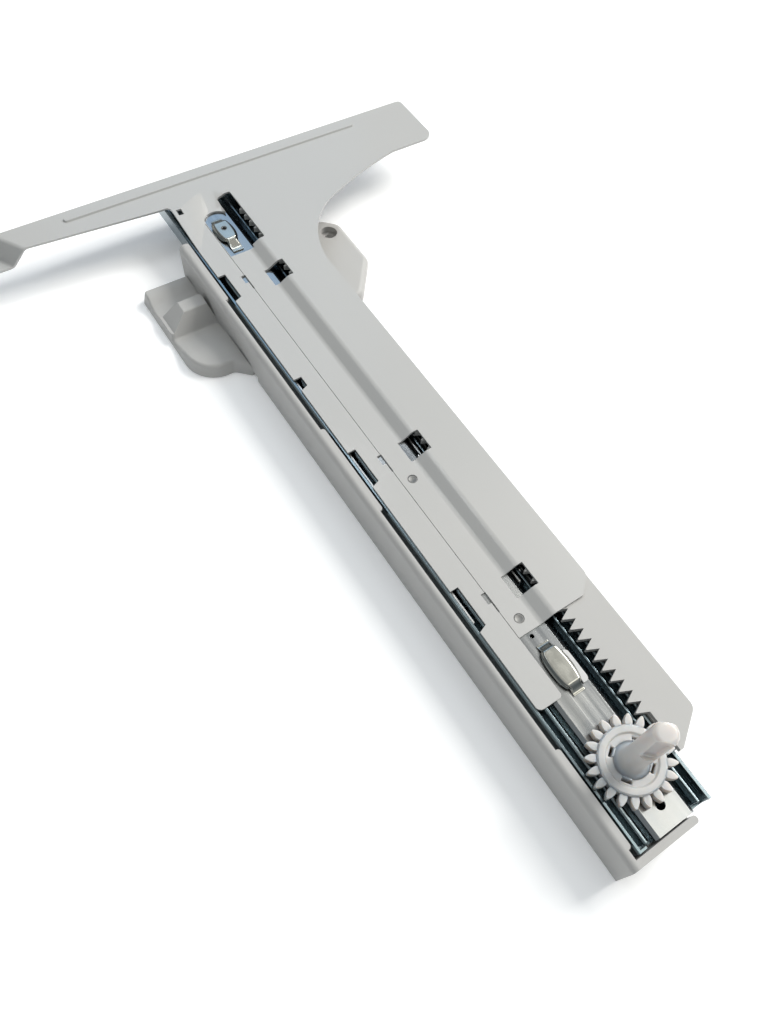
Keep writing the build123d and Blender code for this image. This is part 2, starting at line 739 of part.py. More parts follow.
with BuildPart() as pinion_shaft:
    with BuildSketch(Plane.XZ):
        with BuildLine():
            Polyline(
                (0, gear_bottom), (seat_r, gear_bottom), (seat_r, gear_top), (7.4, gear_top),
                (7.4, gear_top + 1.0), (shaft_r, gear_top + 2.2), (shaft_r, shaft_top - flat_length),
                (shaft_r - 0.1, shaft_top - flat_length), (shaft_r - 0.1, shaft_top - 1.8),
                (shaft_r - 1.8, shaft_top), (0, shaft_top), close=True,
            )
        make_face()
    revolve(axis=Axis.Z)
    with BuildSketch(Plane.XY.offset(gear_bottom)):
        Circle(pin_r + pin_play)
    extrude(amount=15, mode=Mode.SUBTRACT)
    # two flats that drive the cross rod, with a shallow pocket in each
    for side in (-1, 1):
        add(
            box(-8, 8, 6.3 * side - 2, 6.3 * side + 2, shaft_top - flat_length, shaft_top + 1),
            mode=Mode.SUBTRACT,
        )
        add(
            box(-2.2, 2.2, 4.2 * side - 0.8, 4.2 * side + 0.8, shaft_top - 20, shaft_top - 7),
            mode=Mode.SUBTRACT,
        )
pinion_shaft.part = pinion_shaft.part.moved(Location((gear_x, 0, 0), (0, 0, 45)))
pinion_shaft.part.label = "pinion_shaft"
export_step(pinion_shaft.part, "parts/pinion_shaft.step")

with BuildPart() as pinion_pin:
    with BuildSketch(Plane.XZ):
        with BuildLine():
            Polyline(
                (0, web_top - sheet - 1.4), (5.0, web_top - sheet - 1.4), (5.0, web_top - sheet),
                (pin_r, web_top - sheet), (pin_r, gear_bottom + 13), (pin_r - 0.6, gear_bottom + 13.8),
                (0, gear_bottom + 13.8), close=True,
            )
        make_face()
    revolve(axis=Axis.Z)
    with BuildSketch(Plane.XY.offset(web_top)):
        Circle(4.6)
    extrude(amount=gear_lift - 0.3)
pinion_pin.part = pinion_pin.part.moved(Location((gear_x, 0, 0)))
pinion_pin.part.label = "pinion_pin"
export_step(pinion_pin.part, "parts/pinion_pin.step")
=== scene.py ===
import bmesh
import bpy
import json
from math import acos, cos, pi, radians, sin, sqrt, tan
from mathutils import Matrix, Vector

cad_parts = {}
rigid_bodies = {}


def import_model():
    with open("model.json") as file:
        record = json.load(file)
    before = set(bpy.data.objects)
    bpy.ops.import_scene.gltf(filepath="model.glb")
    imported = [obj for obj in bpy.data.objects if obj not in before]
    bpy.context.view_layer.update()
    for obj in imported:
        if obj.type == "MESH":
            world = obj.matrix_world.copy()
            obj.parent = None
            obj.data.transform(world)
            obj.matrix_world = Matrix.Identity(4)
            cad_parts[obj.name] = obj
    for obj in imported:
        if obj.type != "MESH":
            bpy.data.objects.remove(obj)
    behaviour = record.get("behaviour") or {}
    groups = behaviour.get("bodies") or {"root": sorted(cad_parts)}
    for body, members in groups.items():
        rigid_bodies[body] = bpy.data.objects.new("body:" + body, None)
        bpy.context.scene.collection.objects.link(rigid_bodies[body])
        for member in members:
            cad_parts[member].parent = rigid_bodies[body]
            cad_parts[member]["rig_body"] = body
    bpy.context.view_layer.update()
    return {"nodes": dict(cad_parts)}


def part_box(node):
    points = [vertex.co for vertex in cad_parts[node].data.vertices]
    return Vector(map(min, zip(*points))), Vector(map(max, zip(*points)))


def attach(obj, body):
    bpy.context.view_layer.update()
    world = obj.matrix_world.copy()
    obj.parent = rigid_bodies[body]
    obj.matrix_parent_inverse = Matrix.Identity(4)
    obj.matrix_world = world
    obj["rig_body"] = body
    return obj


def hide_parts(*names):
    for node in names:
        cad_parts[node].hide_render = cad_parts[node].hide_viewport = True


# Freezer drawer rail, one side. +X is the opening direction, +Z points away from the
# cabinet wall, +Y is the closed side wall of the housing. Metres; mm() takes millimetres.
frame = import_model()
nodes = frame["nodes"]


def mm(*sizes):
    """Millimetres to metres: one number, or a point."""
    return sizes[0] / 1000 if len(sizes) == 1 else Vector([s / 1000 for s in sizes])


# ---- node desk --------------------------------------------------------------------------
class Signal:
    """A value passed between nodes. Sums and products of signals become math nodes."""

    def __init__(self, desk, node, output):
        self.desk, self.node, self.output = desk, node, output

    def __getitem__(self, output):
        return Signal(self.desk, self.node, self.node.outputs[output])

    def maths(self, operation, *values):
        """A math node over these values."""
        return self.desk.add("ShaderNodeMath", {"operation": operation}, dict(enumerate(values)))

    def __add__(self, other):
        return self.maths("ADD", self, other)

    def __sub__(self, other):
        return self.maths("SUBTRACT", self, other)

    def __rsub__(self, other):
        return self.maths("SUBTRACT", other, self)

    def __mul__(self, other):
        return self.maths("MULTIPLY", self, other)

    def __truediv__(self, other):
        return self.maths("DIVIDE", self, other)

    __radd__, __rmul__ = __add__, __mul__

    def within(self, low, high):
        """Stretches low..high to 0..1 and holds it there."""
        return self.desk.add("ShaderNodeMapRange", {"interpolation_type": "SMOOTHSTEP"},
                             {"Value": self, "From Min": low, "From Max": high})


class Desk:
    """A node tree and the one way in which nodes are added to it."""

    def __init__(self, tree):
        self.tree = tree

    def add(self, kind, settings=None, values=None, out=0):
        """A new node with its settings, then its inputs; gives the output named or numbered out."""
        node = self.tree.nodes.new(kind)
        for name, setting in (settings or {}).items():
            if name == "stops":
                band = node.color_ramp.elements
                while len(band) < len(setting):
                    band.new(0.5)
                for stop, (place, colour) in zip(band, setting):
                    stop.position, stop.color = place, (*colour, 1)
            else:
                setattr(node, name, setting)
        self.feed(node, values or {})
        return Signal(self, node, node.outputs[out]) if len(node.outputs) else node

    def feed(self, node, values):
        """Sets a node's inputs, or links them where the value is a signal."""
        for name, value in values.items():
            for one in value if isinstance(value, list) else [value]:
                if isinstance(one, Signal):
                    self.tree.links.new(one.output, node.inputs[name])
                else:
                    node.inputs[name].default_value = one


class Finish(Desk):
    """A surface finish: a material with its principled shader and the patterns that feed it."""

    def __init__(self, name, colour, **constants):
        self.material = bpy.data.materials.new(name)
        self.material.use_nodes = True
        super().__init__(self.material.node_tree)
        self.shader = self.tree.nodes["Principled BSDF"]
        self.feed(self.shader, {"Base Color": (*colour, 1)})
        self.feed(self.shader, {name.replace("_", " "): value for name, value in constants.items()})
        self.place = self.add("ShaderNodeTexCoord", out="Object")

    def noise(self, scale, stretch=(1, 1, 1), detail=3.0, rough=0.55):
        """Cloudy pattern of about 1 / scale metres, drawn out along an axis by stretch."""
        spot = self.add("ShaderNodeMapping", {}, {"Vector": self.place, "Scale": stretch})
        return self.add("ShaderNodeTexNoise", {}, {"Vector": spot, "Scale": scale, "Detail": detail,
                                                   "Roughness": rough}, "Fac")

    def blend(self, share, low, high):
        """Colour between two others."""
        colours = {6: low if isinstance(low, Signal) else (*low, 1),
                   7: high if isinstance(high, Signal) else (*high, 1)}
        return self.add("ShaderNodeMix", {"data_type": "RGBA"}, {0: share, **colours}, 2)

    def edges(self, width, low=0.02, high=0.25):
        """One along outer edges and corners that hands and tools rub, zero on flat faces."""
        soft = self.add("ShaderNodeBevel", {"samples": 6}, {"Radius": width})
        face = self.add("ShaderNodeNewGeometry", out="Normal")
        facing = self.add("ShaderNodeVectorMath", {"operation": "DOT_PRODUCT"}, {0: soft, 1: face},
                          "Value")
        return (1 - facing).within(low, high)

    def bump(self, height, depth, strength):
        """Normal of a surface that height raises by up to depth."""
        return self.add("ShaderNodeBump", {}, {"Height": height, "Distance": depth, "Strength": strength})

    def paint(self, **sockets):
        """The finished material, with its patterns joined to the shader."""
        self.feed(self.shader, {name.replace("_", " "): value for name, value in sockets.items()})
        return self.material


# ---- finishes ---------------------------------------------------------------------------
def white_paint():
    """Baked powder coat: light warm grey, faint orange peel, a little thinner on the edges."""
    f = Finish("white_paint", (0.45, 0.447, 0.435), Coat_Weight=0.3, Coat_Roughness=0.14,
               Specular_IOR_Level=0.45)
    drift = f.noise(9, detail=2)
    peel = f.noise(650, detail=2)
    specks = f.noise(2600, detail=1).within(0.66, 0.74)
    rub = f.edges(mm(0.5)) * f.noise(160).within(0.35, 0.7)
    tone = f.blend(drift, (0.43, 0.43, 0.422), (0.462, 0.457, 0.442))
    tone = f.blend(specks * 0.25, tone, (0.36, 0.36, 0.35))
    tone = f.blend(rub * 0.35, tone, (0.58, 0.58, 0.57))
    return f.paint(Base_Color=tone, Roughness=0.36 + peel * 0.1 + drift * 0.05,
                   Normal=f.bump(peel + specks * 0.3, mm(0.05), 0.35))


def housing_plastic():
    """Moulded plastic with a fine spark-eroded grain and faint flow marks."""
    f = Finish("housing_plastic", (0.44, 0.437, 0.425), Specular_IOR_Level=0.4, Subsurface_Weight=0.05,
               Subsurface_Radius=(0.004, 0.004, 0.004))
    grain = f.noise(2200, detail=2, rough=0.7)
    flow = f.noise(14, (1, 3, 3), detail=4)
    rub = f.edges(mm(0.8)) * f.noise(120).within(0.4, 0.7)
    tone = f.blend(flow, (0.425, 0.42, 0.408), (0.465, 0.459, 0.445))
    tone = f.blend(rub * 0.4, tone, (0.58, 0.58, 0.57))
    return f.paint(Base_Color=tone, Roughness=0.46 + grain * 0.12 + flow * 0.06,
                   Normal=f.bump(grain, mm(0.04), 0.3))


def zinc_steel(name, dark, light, bloomed):
    """Zinc-plated strip, rolled lengthwise: fine streaks, a few drawn scratches, cloudy bloom."""
    f = Finish(name, light, Metallic=1.0)
    streak = f.noise(60, (0.25, 22, 22), detail=5, rough=0.6)
    scratch = f.noise(420, (0.06, 9, 9), detail=1).within(0.63, 0.7)
    bloom = f.noise(24, detail=5).within(0.35, 0.72)
    band = f.noise(60, (0.08, 4, 4), detail=3).within(0.3, 0.7)
    tone = f.blend(streak * 0.45 + band * 0.55, dark, light)
    tone = f.blend(bloom * 0.45, tone, bloomed)
    tone = f.blend(f.edges(mm(0.3)) * 0.3, tone, (0.7, 0.71, 0.72))
    return f.paint(Base_Color=tone, Roughness=0.12 + streak * 0.1 + band * 0.08 + bloom * 0.04,
                   Normal=f.bump(streak + scratch * 0.4, mm(0.02), 0.15))


def bright_steel(name, colour, base, spread):
    """Polished spring or ball steel with hairlines and finger haze."""
    f = Finish(name, colour, Metallic=1.0)
    haze = f.noise(130, detail=4).within(0.3, 0.75)
    hair = f.noise(500, (0.3, 3, 3), detail=1)
    tone = f.blend(haze * 0.5, colour, [c * 0.86 for c in colour])
    tone = f.blend(f.edges(mm(0.25)) * 0.5, tone, (0.85, 0.85, 0.84))
    return f.paint(Base_Color=tone, Roughness=base + haze * spread + hair * 0.04,
                   Normal=f.bump(hair, mm(0.01), 0.1))


def gear_plastic():
    """Milky acetal: slightly see-through, waxy, with faint sink marks and sheared flash."""
    f = Finish("gear_plastic", (0.52, 0.512, 0.5), Subsurface_Weight=0.85, Subsurface_Scale=1.0,
               Subsurface_Radius=(0.009, 0.007, 0.0055), Specular_IOR_Level=0.5, Coat_Weight=0.1)
    cloud = f.noise(90, detail=3)
    grain = f.noise(1500, detail=2)
    tone = f.blend(cloud, (0.5, 0.49, 0.48), (0.57, 0.56, 0.548))
    tone = f.blend(f.edges(mm(0.4)) * 0.4, tone, (0.66, 0.65, 0.64))
    return f.paint(Base_Color=tone, Roughness=0.3 + cloud * 0.14, Normal=f.bump(grain, mm(0.02), 0.25))


def pad_plastic():
    """Pale nylon slider pad, slightly polished where it rubs."""
    f = Finish("pad_plastic", (0.5, 0.5, 0.49), Specular_IOR_Level=0.5)
    cloud = f.noise(200, detail=3)
    tone = f.blend(cloud, (0.5, 0.498, 0.49), (0.6, 0.598, 0.59))
    return f.paint(Base_Color=tone, Roughness=0.3 + cloud * 0.2,
                   Normal=f.bump(f.noise(1800), mm(0.02), 0.3))


finishes = {
    "white_paint": white_paint(),
    "housing_plastic": housing_plastic(),
    "zinc_steel": zinc_steel("zinc_steel", (0.24, 0.26, 0.28), (0.4, 0.41, 0.415), (0.39, 0.39, 0.365)),
    # Darker, bluer copy of the same zinc finish, for the outer and middle rails: painted shade and painted
    # blue reflection for rails that sit deep in the housing.
    "blued_zinc": zinc_steel("blued_zinc", (0.12, 0.17, 0.2), (0.3, 0.35, 0.37), (0.2, 0.26, 0.28)),
    "gear_plastic": gear_plastic(),
    "pad_plastic": pad_plastic(),
    "clip_steel": bright_steel("clip_steel", (0.41, 0.41, 0.375), 0.15, 0.08),
    "ball_steel": bright_steel("ball_steel", (0.7, 0.71, 0.72), 0.06, 0.06),
    "cage_steel": bright_steel("cage_steel", (0.56, 0.57, 0.57), 0.26, 0.14),
    "rivet_steel": bright_steel("rivet_steel", (0.2, 0.2, 0.195), 0.45, 0.15),
    "screw_steel": bright_steel("screw_steel", (0.6, 0.58, 0.5), 0.22, 0.14),
}


def cover(piece, finish):
    """Gives a piece one finish."""
    piece.data.materials.clear()
    piece.data.materials.append(finishes[finish])


# ---- making pieces ----------------------------------------------------------------------
def piece_from(mesh, name, finish, node):
    """Puts a finished mesh in the scene, on its CAD node's body and in its place."""
    mesh.name = name
    piece = bpy.data.objects.new(name, mesh)
    bpy.context.scene.collection.objects.link(piece)
    cover(piece, finish)
    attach(piece, nodes[node]["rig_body"])
    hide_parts(node)


def loose(mesh):
    """A bare object to hang modifiers on."""
    block = bpy.data.objects.new("helper", mesh)
    bpy.context.scene.collection.objects.link(block)
    return block


def settled(block):
    """The mesh of an object with its modifiers worked in; the object itself goes."""
    bpy.context.view_layer.update()
    seen = block.evaluated_get(bpy.context.evaluated_depsgraph_get())
    mesh = bpy.data.meshes.new_from_object(seen)
    bpy.data.objects.remove(block)
    return mesh


def rolled(mesh, width, steps, limit=28):
    """Edges sharper than limit degrees rolled over, as pressing or moulding leaves them."""
    block = loose(mesh)
    roll = block.modifiers.new("roll", "BEVEL")
    roll.width, roll.segments, roll.limit_method, roll.angle_limit = width, steps, "ANGLE", radians(limit)
    roll.use_clamp_overlap, roll.miter_outer = True, "MITER_ARC"
    even = block.modifiers.new("even", "WEIGHTED_NORMAL")
    even.mode, even.weight = "FACE_AREA", 100
    return settled(block)


def meshed(shape, smooth=True):
    """A bmesh made into a mesh."""
    for face in shape.faces:
        face.smooth = smooth
    mesh = bpy.data.meshes.new("shape")
    shape.to_mesh(mesh)
    shape.free()
    return mesh


def closed(shape, smooth=True):
    """A bmesh made into a mesh, its faces turned outwards."""
    bmesh.ops.recalc_face_normals(shape, faces=shape.faces)
    return meshed(shape, smooth)


def eased(node, name, finish, width, steps=3, bend=0):
    """A CAD node's shape as one skin with rolled edges.

    Lengthwise press bends get a roll of their own, bend, which is wider than the edges'.
    """
    shape = bmesh.new()
    shape.from_mesh(nodes[node].data)
    bmesh.ops.remove_doubles(shape, verts=shape.verts, dist=mm(0.002))
    bmesh.ops.dissolve_limit(shape, angle_limit=radians(0.6), verts=shape.verts, edges=shape.edges)
    if bend:
        shortest, least, most = mm(6), radians(20), radians(50)
        bends = [edge for edge in shape.edges if len(edge.link_faces) == 2
                 and edge.calc_length() > shortest
                 and abs((edge.verts[1].co - edge.verts[0].co).normalized().x) > 0.99
                 and least < edge.calc_face_angle() < most]
        bmesh.ops.bevel(shape, geom=bends, offset=bend, segments=5, profile=0.5, affect="EDGES",
                        clamp_overlap=True)
    piece_from(rolled(meshed(shape), width, steps), name, finish, node)


def prism(outline, low, high):
    """Upright block on a closed outline of (x, y) points in metres."""
    shape = bmesh.new()
    foot = shape.faces.new([shape.verts.new((x, y, low)) for x, y in outline])
    lid = bmesh.ops.extrude_face_region(shape, geom=[foot])
    bmesh.ops.translate(shape, vec=(0, 0, high - low), verts=[v for v in lid["geom"] if hasattr(v, "co")])
    return shape


def turned(profile, steps=72):
    """Solid of revolution about Z from (radius, height) points; ends on the axis are closed."""
    shape = bmesh.new()
    ring = [shape.verts.new((r, 0, z)) for r, z in profile]
    edges = [shape.edges.new(pair) for pair in zip(ring, ring[1:])]
    bmesh.ops.spin(shape, geom=ring + edges, cent=(0, 0, 0), axis=(0, 0, 1), angle=2 * pi, steps=steps,
                   use_merge=True)
    bmesh.ops.remove_doubles(shape, verts=shape.verts, dist=1e-7)
    return shape


def carved(mesh, *tools):
    """A mesh with other closed meshes taken out of it."""
    block = loose(mesh)
    cutters = [loose(tool) for tool in tools]
    for cutter in cutters:
        cut = block.modifiers.new("cut", "BOOLEAN")
        cut.object, cut.operation, cut.solver = cutter, "DIFFERENCE", "EXACT"
    done = settled(block)
    for cutter in cutters:
        bpy.data.objects.remove(cutter)
    return done


def slab(x, y, low, high, turn=0.0, roll=0.0):
    """Upright block between two x and two y values, turned about the origin, its edges rolled."""
    shape = prism([(x[0], y[0]), (x[1], y[0]), (x[1], y[1]), (x[0], y[1])], low, high)
    if roll:
        bmesh.ops.bevel(shape, geom=shape.edges[:], offset=roll, segments=4, profile=0.5, affect="EDGES")
    bmesh.ops.rotate(shape, verts=shape.verts, matrix=Matrix.Rotation(turn, 3, "Z"))
    return closed(shape)


def moved(mesh, place):
    """A mesh shifted sideways to a place; its height stays."""
    mesh.transform(Matrix.Translation((place.x, place.y, 0)))
    return mesh


def middle_of(node):
    """Centre of a CAD node's box."""
    low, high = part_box(node)
    return (low + high) / 2


# ---- patterns that repeat ---------------------------------------------------------------
class Pattern(Desk):
    """A geometry node tree with named sizes that lays out copies of a helper mesh."""

    def __init__(self, name, **sizes):
        tree = bpy.data.node_groups.new(name, "GeometryNodeTree")
        tree.interface.new_socket("Geometry", in_out="OUTPUT", socket_type="NodeSocketGeometry")
        self.sizes = {}
        for size, value in sizes.items():
            kind = "NodeSocketInt" if isinstance(value, int) else "NodeSocketFloat"
            self.sizes[tree.interface.new_socket(size, in_out="INPUT", socket_type=kind).identifier] = value
        super().__init__(tree)
        self.size = self.add("NodeGroupInput")
        self.end = self.add("NodeGroupOutput")
        self.helpers = []

    def mesh_of(self, mesh):
        """Brings a helper mesh into the tree."""
        helper = loose(mesh)
        self.helpers.append(helper)
        return self.add("GeometryNodeObjectInfo", {}, {"Object": helper}, "Geometry")

    def at(self, x=0.0, y=0.0, z=0.0):
        """A place or a turn made of three values."""
        return self.add("ShaderNodeCombineXYZ", {}, {"X": x, "Y": y, "Z": z})

    def copies(self, count, shape, place=None, turn=None):
        """count copies of a shape, each put and turned by its number in the row."""
        spot = {"Position": place} if place else {}
        points = self.add("GeometryNodePoints", {}, {"Count": count, **spot})
        turn = {"Rotation": turn} if turn else {}
        return self.add("GeometryNodeInstanceOnPoints", {}, {"Points": points, "Instance": shape, **turn})

    def built(self, geometry, finish):
        """The finished plain mesh of the tree."""
        real = self.add("GeometryNodeRealizeInstances", {}, {"Geometry": geometry})
        done = self.add("GeometryNodeSetMaterial", {}, {"Geometry": real, "Material": finishes[finish]})
        self.feed(self.end, {0: done})
        carrier = loose(bpy.data.meshes.new("carrier"))
        layer = carrier.modifiers.new("pattern", "NODES")
        layer.node_group = self.tree
        for identifier, value in self.sizes.items():
            layer[identifier] = value
        mesh = settled(carrier)
        for helper in self.helpers:
            bpy.data.objects.remove(helper)
        return mesh


def ball_rows(node, name):
    """Both rows of balls of one set, at the pitch of their cages."""
    cage_pitch = mm(20)
    low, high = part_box(node)
    radius = (high.z - low.z) / 2
    span, gap = high.x - low.x - 2 * radius, high.y - low.y - 2 * radius
    each = round(span / cage_pitch) + 1
    row = Pattern(name, Each=each, Pitch=span / (each - 1), Gap=gap, Rear=low.x + radius,
                  Left=low.y + radius)
    ball = row.add("GeometryNodeMeshIcoSphere", {}, {"Radius": radius, "Subdivisions": 4}, "Mesh")
    ball = row.add("GeometryNodeSetShadeSmooth", {}, {0: ball})
    number = row.add("GeometryNodeInputIndex")
    side = number.maths("FLOOR", number / row.size["Each"] + 0.001)
    along = number - side * row.size["Each"]
    place = row.at(row.size["Rear"] + along * row.size["Pitch"], row.size["Left"] + side * row.size["Gap"],
                   (low.z + high.z) / 2)
    mesh = row.built(row.copies(row.size["Each"] * 2, ball, place), "ball_steel")
    piece_from(mesh, name, "ball_steel", node)


ball_rows("outer_balls", "outer_ball_rows")
ball_rows("inner_balls", "inner_ball_rows")


slot_turn = 0.9  # radians from one fastener to the next, as they were left when tightened


def fasteners(node, name, finish, head, rear, pitch, count, slot=False):
    """A row of turned rivets or screws along the slide, their heads slotted if slot is set."""
    row = Pattern(name, Count=count, Rear=rear, Pitch=pitch)
    body = closed(turned(head))
    if slot:
        half_length, half_width, depth = mm(2.3), mm(0.42), mm(0.6)
        top = head[1][1]
        blade = prism([(-half_length, -half_width), (half_length, -half_width), (half_length, half_width),
                       (-half_length, half_width)], top - depth, top + mm(1))
        body = carved(body, closed(blade, False))
    number = row.add("GeometryNodeInputIndex")
    place = row.at(row.size["Rear"] + number * row.size["Pitch"])
    turn = row.at(z=number * slot_turn)
    mesh = row.built(row.copies(row.size["Count"], row.mesh_of(body), place, turn), finish)
    piece_from(mesh, name, finish, node)


low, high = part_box("bracket_rivets")
reach, dome, shank_r = (high.y - low.y) / 2, high.z, mm(2)
fasteners("bracket_rivets", "set_rivets", "rivet_steel", [
    (0, dome - mm(0.35)), (mm(0.9), dome - mm(0.32)), (mm(1.8), dome - mm(0.12)), (mm(2.35), dome),
    (mm(2.7), dome - mm(0.12)), (mm(2.7), dome - mm(0.9)), (shank_r, dome - mm(1)),
    (shank_r, low.z + mm(1.2)),
    (reach - mm(0.1), low.z + mm(1.2)), (reach - mm(0.1), low.z + mm(0.4)), (reach - mm(0.7), low.z),
    (0, low.z)], low.x + reach, high.x - low.x - 2 * reach, 2)
low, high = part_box("outer_rail_screws")
head_r = mm(3.6)
fasteners("outer_rail_screws", "rail_screws", "screw_steel", [
    (0, high.z), (mm(2.6), high.z), (mm(3.3), high.z - mm(0.25)), (head_r, high.z - mm(0.7)),
    (head_r, high.z - mm(0.9)), (shank_r, high.z - mm(0.92)), (shank_r, low.z + mm(1.5)),
    (mm(0.4), low.z), (0, low.z)], low.x + head_r, (high.x - low.x - 2 * head_r) / 2, 3, True)


# ---- moulded and pressed pieces ---------------------------------------------------------
eased("rail_housing", "housing", "housing_plastic", mm(0.55))
eased("drawer_bracket", "bracket", "white_paint", mm(0.3), 2, mm(1.5))
# The outer and middle rails take the zinc copy with painted shade and painted blue reflection.
eased("outer_rail", "outer_rail_strip", "blued_zinc", mm(0.18), 2)
eased("middle_rail", "middle_rail_strip", "blued_zinc", mm(0.18), 2)
eased("inner_rail", "inner_rail_strip", "zinc_steel", mm(0.18), 2)


# ---- pinion -----------------------------------------------------------------------------
teeth, pitch_r, root_r, tip_r = 20, mm(20), mm(16.6), mm(22)
pressure = radians(25)
backlash = mm(0.075)
base_r = pitch_r * cos(pressure)
hub_r = mm(6.4)
snap_tabs, first_tab = 4, radians(35)
gear_foot, rim_top = [corner.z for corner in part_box("pinion")]
gear_top = rim_top - mm(0.9)
rim_level = gear_top + mm(0.55)
web_level = gear_top - mm(0.5)
gear_axis = middle_of("pinion_pin")


def half_angle(radius):
    """Half angle of an involute tooth at a radius, with its backlash taken off."""
    roll = acos(min(1.0, base_r / radius))
    return (pi / 2 / teeth - backlash / pitch_r) + (tan(pressure) - pressure) - (tan(roll) - roll)


def gear():
    """Moulded pinion: raised rim, sunk web with snap slots, and pointed teeth below the rim's level."""
    flank_steps = 9
    rows = [root_r - mm(1)]
    rows += [base_r + (tip_r - base_r) * step / flank_steps for step in range(flank_steps + 1)]
    flank = [(r * cos(half_angle(r)), r * sin(half_angle(r))) for r in rows]
    tooth = prism(flank + [(x, -y) for x, y in reversed(flank)], gear_foot, gear_top - mm(0.4))
    tooth = rolled(closed(tooth), mm(0.24), 3, 40)
    disc = closed(turned([
        (hub_r, gear_foot), (root_r, gear_foot), (root_r, gear_top), (root_r - mm(0.4), gear_top),
        (root_r - mm(0.7), rim_level), (mm(13), rim_level), (mm(12.3), web_level), (hub_r, web_level),
        (hub_r, gear_foot)], 120))
    disc = rolled(disc, mm(0.7), 4)
    slots = [slab((mm(9.3), mm(11.1)), (-mm(2.6), mm(2.6)), gear_foot - mm(1), rim_top,
                  first_tab + 2 * pi * i / snap_tabs, mm(0.5)) for i in range(snap_tabs)]
    disc = carved(disc, *slots)
    tab = slab((mm(8.5), mm(9.4)), (-mm(2.1), mm(2.1)), web_level - mm(0.5), web_level + mm(0.7), 0,
               mm(0.3))
    lay = Pattern("gear", Teeth=teeth, Tabs=snap_tabs, First=first_tab, Across=gear_axis.x,
                  Along=gear_axis.y)
    number = lay.add("GeometryNodeInputIndex")
    centre = lay.at(lay.size["Across"], lay.size["Along"])
    ring = lay.copies(lay.size["Teeth"], lay.mesh_of(tooth), centre,
                      lay.at(z=number / lay.size["Teeth"] * 2 * pi))
    tabs = lay.copies(lay.size["Tabs"], lay.mesh_of(tab), centre,
                      lay.at(z=number / lay.size["Tabs"] * 2 * pi + lay.size["First"]))
    plate = lay.mesh_of(moved(disc, gear_axis))
    both = lay.add("GeometryNodeJoinGeometry", {}, {"Geometry": [ring, tabs, plate]})
    piece_from(lay.built(both, "gear_plastic"), "gear", "gear_plastic", "pinion")


def stub():
    """Thick stub shaft that swells into the hub, with two pocketed flats and a rounded tip."""
    flat_length, tip_roll, tip_flat_r = mm(24), mm(2.4), mm(3.5)
    pin_hole_r, pin_hole_depth, seat_r = mm(3.06), mm(15), mm(6.38)
    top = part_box("pinion_shaft")[1].z
    flats = top - flat_length
    foot = web_level + mm(0.02)
    swell = [(mm(5.95 + 3.2 * (1 - t) ** 3), foot + mm(9) * t**1.6) for t in [i / 10 for i in range(11)]]
    tip = [(tip_flat_r + tip_roll * cos(a), top - tip_roll + tip_roll * sin(a))
           for a in [pi / 12 * i for i in range(7)]]
    body = closed(turned([
        (0, gear_foot + pin_hole_depth), (pin_hole_r, gear_foot + pin_hole_depth),
        (pin_hole_r, gear_foot), (seat_r, gear_foot), (seat_r, foot), *swell, *tip, (0, top)], 96))
    cuts = []
    for side in (radians(45), radians(225)):
        cuts.append(slab((-mm(9), mm(9)), (mm(4.3), mm(9)), flats, top + mm(6), side, mm(0.8)))
        cuts.append(slab((-mm(3.4), mm(3.4)), (mm(3.1), mm(7)), flats + mm(2), top - mm(3), side, mm(1.6)))
    body = rolled(carved(body, *cuts), mm(0.5), 3, 24)
    piece_from(moved(body, gear_axis), "stub", "gear_plastic", "pinion_shaft")


gear()
stub()


# ---- clips ------------------------------------------------------------------------------
def smooth_step(value, low, high):
    """Climbs softly from 0 at low to 1 at high."""
    t = min(1.0, max(0.0, (value - low) / (high - low)))
    return t * t * (3 - 2 * t)


def spring_clip(node, name, skirt, body, feet, hole=0):
    """Pressed strap: narrow feet, swollen middle with a flat top and sides that slope down.

    body is the middle's centre and half length, and feet is how far in from each end the slope
    reaches its full height, all in half lengths. skirt is how far the sides drop, and hole is the
    radius of a rivet hole.
    """
    along_steps, across_steps = 72, 28
    sheet, foot_half, flat_top = mm(0.8), mm(3.4), 0.68
    low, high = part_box(node)
    middle, half_length, half_width = middle_of(node), (high.x - low.x) / 2, (high.y - low.y) / 2
    shape = bmesh.new()
    grid = []
    for i in range(along_steps + 1):
        u = 2 * i / along_steps - 1
        swell = sqrt(max(0.0, 1 - ((u - body[0]) / body[1]) ** 2)) ** 0.9
        half = foot_half + (half_width - foot_half) * swell
        rise = smooth_step(1 + u, 0.05, feet[0]) * smooth_step(1 - u, 0.05, feet[1])
        row = []
        for j in range(across_steps + 1):
            v = 2 * j / across_steps - 1
            drop = skirt * smooth_step(abs(v), flat_top, 1.0) * rise
            height = low.z + sheet + (high.z - low.z - sheet) * rise * (1 - drop)
            row.append(shape.verts.new((middle.x + half_length * u, middle.y + half * v, height)))
        grid.append(row)
    for near, far in zip(grid, grid[1:]):
        for j in range(across_steps):
            shape.faces.new((near[j], far[j], far[j + 1], near[j + 1]))
    block = loose(meshed(shape))
    thick = block.modifiers.new("thick", "SOLIDIFY")
    thick.thickness, thick.offset = sheet * 0.8, -1
    mesh = settled(block)
    if hole:
        drill = closed(turned([(0, low.z - sheet), (hole, low.z - sheet), (hole, high.z + sheet),
                               (0, high.z + sheet)], 48))
        mesh = carved(mesh, moved(drill, middle_of("front_clip_rivet")))
    mesh = rolled(mesh, mm(0.12), 2, 50)
    piece_from(mesh, name, "clip_steel", node)


spring_clip("front_clip", "front_spring_clip", 0.8, (0.22, 0.6), (0.72, 0.4), mm(1.9))
spring_clip("rear_clip", "rear_spring_clip", 0.7, (0.0, 0.74), (0.4, 0.36))
eased("clip_pad", "pad", "pad_plastic", mm(0.35))
eased("front_clip_rivet", "clip_rivet", "rivet_steel", mm(0.2), 2)

for node, finish in {
    "outer_cage_left": "cage_steel", "outer_cage_right": "cage_steel",
    "inner_cage_left": "cage_steel", "inner_cage_right": "cage_steel", "pinion_pin": "rivet_steel",
}.items():
    cover(nodes[node], finish)


